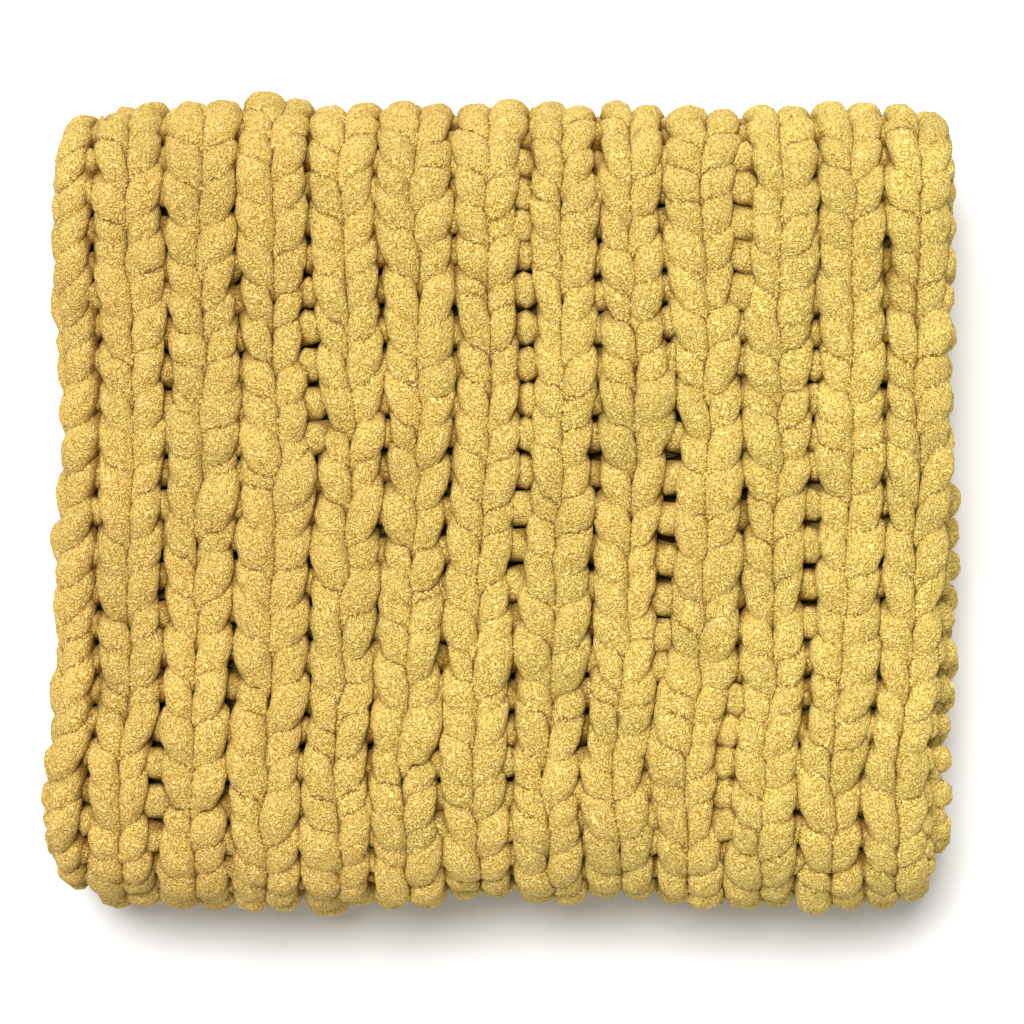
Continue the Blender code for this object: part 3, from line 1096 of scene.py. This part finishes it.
@dataclass
class NodeWork:
    """Adds nodes to a tree and links them."""

    tree: bpy.types.NodeTree

    def add(self, kind: str, **inputs: object) -> bpy.types.Node:
        """Add a node and fill its inputs.

        Args:
            kind: the node's type.
            inputs: a value or an output socket for each named input.

        Returns:
            The node.
        """
        node = self.tree.nodes.new(kind)
        for name, value in inputs.items():
            self.fill(node.inputs[name], value)
        return node

    def fill(self, socket: bpy.types.NodeSocket, value: object) -> None:
        """Link an output to a socket, or set the socket's own value.

        Args:
            socket: the input to fill.
            value: an output socket or a plain value.
        """
        if isinstance(value, bpy.types.NodeSocket):
            self.tree.links.new(value, socket)
        else:
            socket.default_value = value

    def maths(self, operation: str, *values: object) -> bpy.types.NodeSocket:
        """Add a sum of one or two values.

        Args:
            operation: what the node works out.
            values: the numbers or sockets that it takes.

        Returns:
            The socket with the result.
        """
        node = self.tree.nodes.new("ShaderNodeMath")
        node.operation = operation
        for socket, value in zip(node.inputs, values):
            self.fill(socket, value)
        return node.outputs[0]

    def vector(self, operation: str, first: object, second: object) -> bpy.types.NodeSocket:
        """Add a sum of two vectors, or of a vector and a scale.

        Args:
            operation: what the node works out.
            first: the first vector.
            second: the second vector, or the scale.

        Returns:
            The socket with the result.
        """
        node = self.add("ShaderNodeVectorMath", Vector=first)
        node.operation = operation
        self.fill(node.inputs["Scale" if operation == "SCALE" else 1], second)
        return node.outputs["Value" if operation == "DOT_PRODUCT" else "Vector"]

    def ranged(
        self, value: object, ends: tuple[float, ...], kind: str = "LINEAR"
    ) -> bpy.types.NodeSocket:
        """Carry a value from one range to another.

        Args:
            value: the value.
            ends: the low and high ends that it comes from, then those that it goes to.
            kind: how it is eased between them.

        Returns:
            The socket with the result.
        """
        node = self.add("ShaderNodeMapRange", Value=value)
        node.interpolation_type = kind
        for name, end in zip(("From Min", "From Max", "To Min", "To Max"), ends):
            node.inputs[name].default_value = end
        return node.outputs["Result"]

    def attribute(self, name: str, kind: str = "FLOAT") -> bpy.types.NodeSocket:
        """Return the socket of a named attribute of the geometry.

        Args:
            name: the attribute's name.
            kind: its data type.

        Returns:
            The socket with the attribute's value.
        """
        node = self.tree.nodes.new("GeometryNodeInputNamedAttribute")
        node.data_type = kind
        node.inputs["Name"].default_value = name
        return node.outputs["Attribute"]


def linear(red: int, green: int, blue: int) -> tuple[float, float, float, float]:
    """Return a colour given in display values from 0 to 255 as a linear one."""
    shares = (red / 255.0, green / 255.0, blue / 255.0)
    values = [s / 12.92 if s <= 0.04045 else ((s + 0.055) / 1.055) ** 2.4 for s in shares]
    return (*values, 1.0)


@dataclass(frozen=True)
class ChenilleFinish:
    """Matte mustard chenille: short pile in fine flecks, with tones that drift over the cloth, and
    painted shade.
    """

    name: str = "mustard_chenille"
    # The pile's colours, from its roots to its tips: partly the yarn's own colour and partly painted
    # shade in the pits and painted highlight on the tips.
    tip_and_highlight: tuple[int, int, int] = (244, 218, 130)
    pile: tuple[int, int, int] = (227, 196, 98)
    root: tuple[int, int, int] = (166, 121, 32)
    warm: tuple[int, int, int] = (220, 178, 90)
    # Painted shade: the colour of the creases and the depths over which it fades out.
    crease_shade: tuple[int, int, int] = (152, 118, 50)
    crease_shade_low: float = 0.0020
    crease_shade_high: float = 0.0112
    roughness: float = 0.95
    sheen: float = 0.35
    sheen_roughness: float = 0.45
    fleck_size: float = 0.0019
    fluff_size: float = 0.0019
    fleck_depth: float = 0.0026
    gap_width: float = 0.12
    curl_share: float = 0.30
    tone_size: float = 0.16
    shading_size: float = 0.040
    stitch_shading: float = 0.045
    # Painted shade: thin lines along the seams between rows and between a stitch's two legs.
    seam_shade_width: float = 0.0013
    seam_shade_ragged: float = 0.0022
    seam_shade_size: float = 0.030
    crease_shade_share: float = 0.75
    specular: float = 0.15
    curl_size: float = 0.0030
    fluff_roughness: float = 0.75
    fluff_distortion: float = 0.5
    stitch_warmth: float = 0.08
    warmth_to_right: float = -1.15
    stops: tuple[float, float, float] = (0.12, 0.46, 0.90)
    fleck_range: tuple[float, float] = (0.42, 0.98)
    warmth_range: tuple[float, ...] = (0.28, 0.95, 0.0, 0.80)
    lightness_range: tuple[float, ...] = (0.3, 0.7, 0.93, 1.09)
    seam_shade_shown: tuple[float, ...] = (0.40, 0.60, 0.1, 0.85)

    def pile_group(self) -> bpy.types.NodeTree:
        """Build the shader group that gives the height and the flecks of the pile.

        Returns:
            The group, with its sizes as named inputs.
        """
        group = bpy.data.node_groups.new("chenille_pile", "ShaderNodeTree")
        face = group.interface
        kind = "NodeSocketFloat"
        for name, value in (("Fleck Size", self.fleck_size), ("Fluff Size", self.fluff_size)):
            face.new_socket(name, in_out="INPUT", socket_type=kind).default_value = value
        for name in ("Height", "Fleck"):
            face.new_socket(name, in_out="OUTPUT", socket_type=kind)
        work = NodeWork(group)
        given = work.add("NodeGroupInput")
        place = work.add("ShaderNodeTexCoord").outputs["Object"]
        bend = work.add("ShaderNodeTexNoise", Vector=place, Scale=1.0 / self.curl_size, Detail=1.0)
        centred = work.vector("SUBTRACT", bend.outputs["Color"], (0.5, 0.5, 0.5))
        tufts = work.add(
            "ShaderNodeTexNoise",
            Vector=work.vector("ADD", place, work.vector("SCALE", centred, self.curl_size)),
            Scale=work.maths("DIVIDE", 1.0, given.outputs["Fleck Size"]),
            Detail=0.0,
        )
        apart = work.maths("ABSOLUTE", work.maths("SUBTRACT", tufts.outputs["Fac"], 0.5))
        gap = work.ranged(apart, (0.0, self.gap_width))
        fluff = work.add(
            "ShaderNodeTexNoise",
            Vector=place,
            Scale=work.maths("DIVIDE", 1.0, given.outputs["Fluff Size"]),
            Detail=2.0,
            Roughness=self.fluff_roughness,
            Distortion=self.fluff_distortion,
        )
        dome = work.maths("MULTIPLY", gap, self.curl_share)
        height = work.maths("ADD", dome, fluff.outputs["Fac"])
        work.add("NodeGroupOutput", Height=height, Fleck=work.ranged(height, self.fleck_range))
        return group

    def seam_shade(
        self, work: NodeWork, name: str, ragged: bpy.types.NodeSocket, share: object
    ) -> bpy.types.NodeSocket:
        """Add a thin, ragged line of painted shade where two parts of the yarn meet.

        Args:
            work: the material in progress.
            name: the attribute with the distance to the other part.
            ragged: the unevenness of the pile, round 0.
            share: how much of the light the line takes.

        Returns:
            The socket with the share of the light that is left.
        """
        clear = work.add("ShaderNodeAttribute")
        clear.attribute_name = name
        uneven = work.maths("MULTIPLY", ragged, self.seam_shade_ragged)
        apart = work.maths("ABSOLUTE", clear.outputs["Fac"])
        line = work.ranged(work.maths("ADD", apart, uneven), (0.0, self.seam_shade_width), "SMOOTHSTEP")
        dark = work.maths("SUBTRACT", 1.0, line)
        return work.maths("SUBTRACT", 1.0, work.maths("MULTIPLY", dark, share))

    def build(self) -> bpy.types.Material:
        """Build the material.

        Returns:
            The material.
        """
        material = bpy.data.materials.new(self.name)
        material.use_nodes = True
        work = NodeWork(material.node_tree)
        shader = material.node_tree.nodes["Principled BSDF"]
        pile = work.add("ShaderNodeGroup")
        pile.node_tree = self.pile_group()
        pile.inputs["Fleck Size"].default_value = self.fleck_size
        pile.inputs["Fluff Size"].default_value = self.fluff_size

        # The flecks follow the pile's height: darker in the pits as painted shade and lighter on the
        # tips as painted highlight, on top of the pile's own colour.
        flecks = work.add("ShaderNodeValToRGB", Fac=pile.outputs["Fleck"])
        ramp = flecks.color_ramp
        low, middle, high = self.stops
        ramp.elements[0].position, ramp.elements[0].color = low, linear(*self.root)
        ramp.elements[1].position, ramp.elements[1].color = high, linear(*self.tip_and_highlight)
        ramp.elements.new(middle).color = linear(*self.pile)

        place = work.add("ShaderNodeTexCoord").outputs["Object"]
        patches = work.add(
            "ShaderNodeTexNoise", Vector=place, Scale=1.0 / self.tone_size, Detail=2.0
        )
        tone = work.add("ShaderNodeAttribute")
        tone.attribute_name = "yarn_tone"
        stitch = work.maths("MULTIPLY", tone.outputs["Fac"], self.stitch_warmth)
        split = work.add("ShaderNodeSeparateXYZ", Vector=place)
        leftward = work.maths("MULTIPLY", split.outputs["X"], self.warmth_to_right)
        drift = work.maths("ADD", patches.outputs["Fac"], work.maths("ADD", stitch, leftward))
        blend = work.add("ShaderNodeMixRGB", Fac=work.ranged(drift, self.warmth_range))
        blend.blend_type = "MULTIPLY"
        work.fill(blend.inputs["Color1"], flecks.outputs["Color"])
        warmed = [warm / base for warm, base in zip(linear(*self.warm), linear(*self.pile))]
        blend.inputs["Color2"].default_value = warmed
        cloudy = work.add(
            "ShaderNodeTexNoise", Vector=place, Scale=1.0 / self.shading_size, Detail=1.0
        )
        lightness = work.ranged(cloudy.outputs["Fac"], self.lightness_range)
        single = work.maths("MULTIPLY", tone.outputs["Fac"], self.stitch_shading)
        toned = work.add("ShaderNodeHueSaturation", Color=blend.outputs["Color"])
        work.fill(toned.inputs["Value"], work.maths("ADD", lightness, single))
        # Painted shade: the colour is darkened towards the crease colour where the yarn lies deep in
        # the cloth and along its seams.
        depth = work.add("ShaderNodeAttribute")
        depth.attribute_name = "crease_shade_depth"
        crease_shade_from = (self.crease_shade_low, self.crease_shade_high)
        crease_unshaded = work.ranged(depth.outputs["Fac"], crease_shade_from, "SMOOTHSTEP")
        # Painted shade along the seams, stronger in some patches of the cloth than in others.
        covered = work.add(
            "ShaderNodeTexNoise", Vector=place, Scale=1.0 / self.seam_shade_size, Detail=1.0
        )
        shown = work.ranged(covered.outputs["Fac"], self.seam_shade_shown)
        ragged = work.maths("SUBTRACT", pile.outputs["Fleck"], 0.5)
        row_seam_shade = self.seam_shade(work, "row_clearance", ragged, shown)
        leg_seam_shade = self.seam_shade(work, "leg_clearance", ragged, self.crease_shade_share)
        seams = work.maths("MULTIPLY", row_seam_shade, leg_seam_shade)
        lit = work.maths("MULTIPLY", crease_unshaded, seams)
        shade = work.add("ShaderNodeMixRGB", Fac=lit)
        shade.inputs["Color1"].default_value = linear(*self.crease_shade)
        shade.inputs["Color2"].default_value = (1.0, 1.0, 1.0, 1.0)
        crease_shaded = work.add("ShaderNodeMixRGB", Fac=1.0)
        crease_shaded.blend_type = "MULTIPLY"
        work.fill(crease_shaded.inputs["Color1"], toned.outputs["Color"])
        work.fill(crease_shaded.inputs["Color2"], shade.outputs["Color"])
        work.fill(shader.inputs["Base Color"], crease_shaded.outputs["Color"])

        bump = work.add(
            "ShaderNodeBump",
            Strength=1.0,
            Distance=self.fleck_depth,
            Height=pile.outputs["Height"],
        )
        work.fill(shader.inputs["Normal"], bump.outputs["Normal"])
        for name, value in (
            ("Roughness", self.roughness),
            ("Specular IOR Level", self.specular),
            ("Sheen Weight", self.sheen),
            ("Sheen Roughness", self.sheen_roughness),
            ("Sheen Tint", linear(*self.tip_and_highlight)),
        ):
            shader.inputs[name].default_value = value
        return material


@dataclass
class KnittedCloth:
    """The blanket: its yarn, in patches that share one finish."""

    yarn: Yarn
    tree: YarnTree
    finish: ChenilleFinish
    body: str = "root"
    node: str = "blanket"
    slot: str = "chenille"
    front_seen: float = 0.35
    back_seen: float = 0.5
    past_bend: float = 0.02

    def patches(self) -> list[Patch]:
        """Divide the cloth into patches by how closely they are seen.

        Returns:
            The patches, which cover every stitch once.
        """
        upper = self.yarn.tension.first_upper
        seen_from = round((ALONG.begins("front_rise") + self.front_seen * RISE) / ROW)
        seen_to = round((TOP_END + self.back_seen * BACK_CLOTH) / ROW)
        bands = [round(seen_from + share * (seen_to - seen_from) / 3.0) for share in range(4)]
        left = upper - 2
        close = [
            Patch(f"top_stitches_{name}", rows, (left, WALES), Detail.CLOSE)
            for name, rows in zip(("near", "middle", "far"), zip(bands, bands[1:]))
        ]
        front_from = round((ALONG.begins("front_lower") - self.past_bend) / ROW)
        back_to = round((MIDDLE_START + self.past_bend) / ROW)
        selvage = WALES - 2
        return [
            *close,
            Patch("front_bend_stitches", (front_from, seen_from), (left, WALES), Detail.SIDE),
            Patch("back_bend_stitches", (seen_to, back_to), (left, WALES), Detail.SIDE),
            Patch("bottom_fold_stitches", (0, front_from), (left, left + 2), Detail.SIDE),
            Patch("middle_fold_stitches", (back_to, ROWS), (left, left + 2), Detail.SIDE),
            Patch("bottom_edge_stitches", (0, front_from), (selvage, WALES), Detail.SIDE),
            Patch("middle_edge_stitches", (back_to, ROWS), (selvage, WALES), Detail.SIDE),
            Patch("lower_edge_stitches", (0, ROWS), (0, 2), Detail.SIDE),
            Patch("cast_on_upper_stitches", (0, 2), (left + 2, selvage), Detail.SIDE),
            Patch("cast_on_lower_stitches", (0, 2), (2, left), Detail.SIDE),
            Patch("cast_on_edge", (0, 1), (0, WALES), Detail.SIDE, is_edge=True),
            Patch("bound_off_edge", (ROWS - 1, ROWS), (0, WALES), Detail.SIDE, is_edge=True),
            Patch("bottom_stitches", (2, front_from), (left + 2, selvage), Detail.HIDDEN),
            Patch("middle_stitches", (back_to, ROWS), (left + 2, selvage), Detail.HIDDEN),
            Patch("inner_stitches", (2, ROWS), (2, left), Detail.HIDDEN),
        ]

    def build(self) -> list[bpy.types.Object]:
        """Make and dress every patch.

        Returns:
            The finished pieces.
        """
        tree = self.tree.build()
        material = self.finish.build()
        made = []
        for patch in self.patches():
            piece = self.sweep(patch, tree, material)
            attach(piece, self.body)
            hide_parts(self.node)
            triangles = sum(len(face.vertices) - 2 for face in piece.data.polygons)
            LOG.info("%s: %d triangles", piece.name, triangles)
            made.append(piece)
        return made

    def sweep(
        self, patch: Patch, tree: bpy.types.NodeTree, material: bpy.types.Material
    ) -> bpy.types.Object:
        """Sweep the yarn of one patch into a plain mesh.

        Args:
            patch: the block of stitches.
            tree: the geometry nodes that make the yarn.
            material: the finish of the yarn.

        Returns:
            The piece, with its place in its mesh.
        """
        line = self.yarn.skeleton(patch)
        draft = bpy.data.objects.new(f"{patch.name}_line", line)
        bpy.context.scene.collection.objects.link(draft)
        modifier = draft.modifiers.new("sweep_yarn", "NODES")
        modifier.node_group = tree
        sockets = {item.name: item.identifier for item in tree.interface.items_tree}
        modifier[sockets["Sides"]] = patch.detail.value[0]
        modifier[sockets["Material"]] = material
        if patch.detail is Detail.HIDDEN:
            modifier[sockets["Lump Height"]] = 0.0
            modifier[sockets["Tuft Height"]] = 0.0
        graph = bpy.context.evaluated_depsgraph_get()
        mesh = bpy.data.meshes.new_from_object(draft.evaluated_get(graph))
        bpy.data.objects.remove(draft, do_unlink=True)
        bpy.data.meshes.remove(line)
        mesh.name = patch.name
        piece = bpy.data.objects.new(patch.name, mesh)
        bpy.context.scene.collection.objects.link(piece)
        return piece


@dataclass(frozen=True)
class Studio:
    """A pale floor, soft light from above and a camera straight overhead."""

    metre_per_pixel: float = 0.00064
    picture: int = 1024
    centre_pixel: tuple[float, float] = (504.5, 505.0)
    camera_height: float = 4.5
    sensor: float = 36.0
    floor_size: float = 12.0
    surround: float = 0.40
    overhead: float = 4.5
    softness: float = 30.0
    overhead_from: tuple[float, float, float] = (-0.15, 0.34, 1.0)
    floor_colour: tuple[float, float, float, float] = (0.90, 0.90, 0.90, 1.0)
    floor_roughness: float = 0.9

    def build(self) -> None:
        """Make the floor, the lights and the camera."""
        self.floor()
        self.lights()
        self.camera()

    def floor(self) -> None:
        """Make the plain pale floor."""
        half = self.floor_size / 2.0
        mesh = bpy.data.meshes.new("floor")
        corners = [(-half, -half, 0.0), (half, -half, 0.0), (half, half, 0.0), (-half, half, 0.0)]
        mesh.from_pydata(corners, [], [(0, 1, 2, 3)])
        material = bpy.data.materials.new("pale_floor")
        material.use_nodes = True
        shader = material.node_tree.nodes["Principled BSDF"]
        shader.inputs["Base Color"].default_value = self.floor_colour
        shader.inputs["Roughness"].default_value = self.floor_roughness
        mesh.materials.append(material)
        floor = bpy.data.objects.new("floor", mesh)
        bpy.context.scene.collection.objects.link(floor)

    def lights(self) -> None:
        """Light the blanket evenly from above, a little more from the far side."""
        world = bpy.data.worlds.new("studio")
        world.use_nodes = True
        sky = world.node_tree.nodes["Background"]
        sky.inputs["Color"].default_value = (1.0, 1.0, 1.0, 1.0)
        sky.inputs["Strength"].default_value = self.surround
        bpy.context.scene.world = world
        bpy.context.scene.view_settings.view_transform = "Standard"
        light = bpy.data.lights.new("overhead_light", "SUN")
        light.energy = self.overhead
        light.angle = math.radians(self.softness)
        lamp = bpy.data.objects.new("overhead_light", light)
        lamp.rotation_euler = Vector(self.overhead_from).to_track_quat("Z", "Y").to_euler()
        bpy.context.scene.collection.objects.link(lamp)

    def camera(self) -> None:
        """Set the camera so that a pixel of the picture is its real size on the top panel."""
        half = self.picture / 2.0
        x = (half - self.centre_pixel[0]) * self.metre_per_pixel
        y = (self.centre_pixel[1] - half) * self.metre_per_pixel
        lens = bpy.data.cameras.new("camera")
        lens.sensor_width = self.sensor
        lens.lens = self.sensor * self.camera_height / (self.picture * self.metre_per_pixel)
        camera = bpy.data.objects.new("camera", lens)
        camera.location = (x, y, CAD_HIGH.z + self.camera_height)
        bpy.context.scene.collection.objects.link(camera)
        bpy.context.scene.camera = camera


def main() -> None:
    """Make the blanket's pieces, then the studio round them."""
    logging.basicConfig(level=logging.INFO, format="%(name)s: %(message)s")
    yarn = Yarn(FoldedCloth(), Tension())
    blanket = KnittedCloth(yarn, YarnTree(), ChenilleFinish())
    pieces = blanket.build()
    LOG.info("%d pieces", len(pieces))
    Studio().build()


if __name__ == "__main__":
    main()
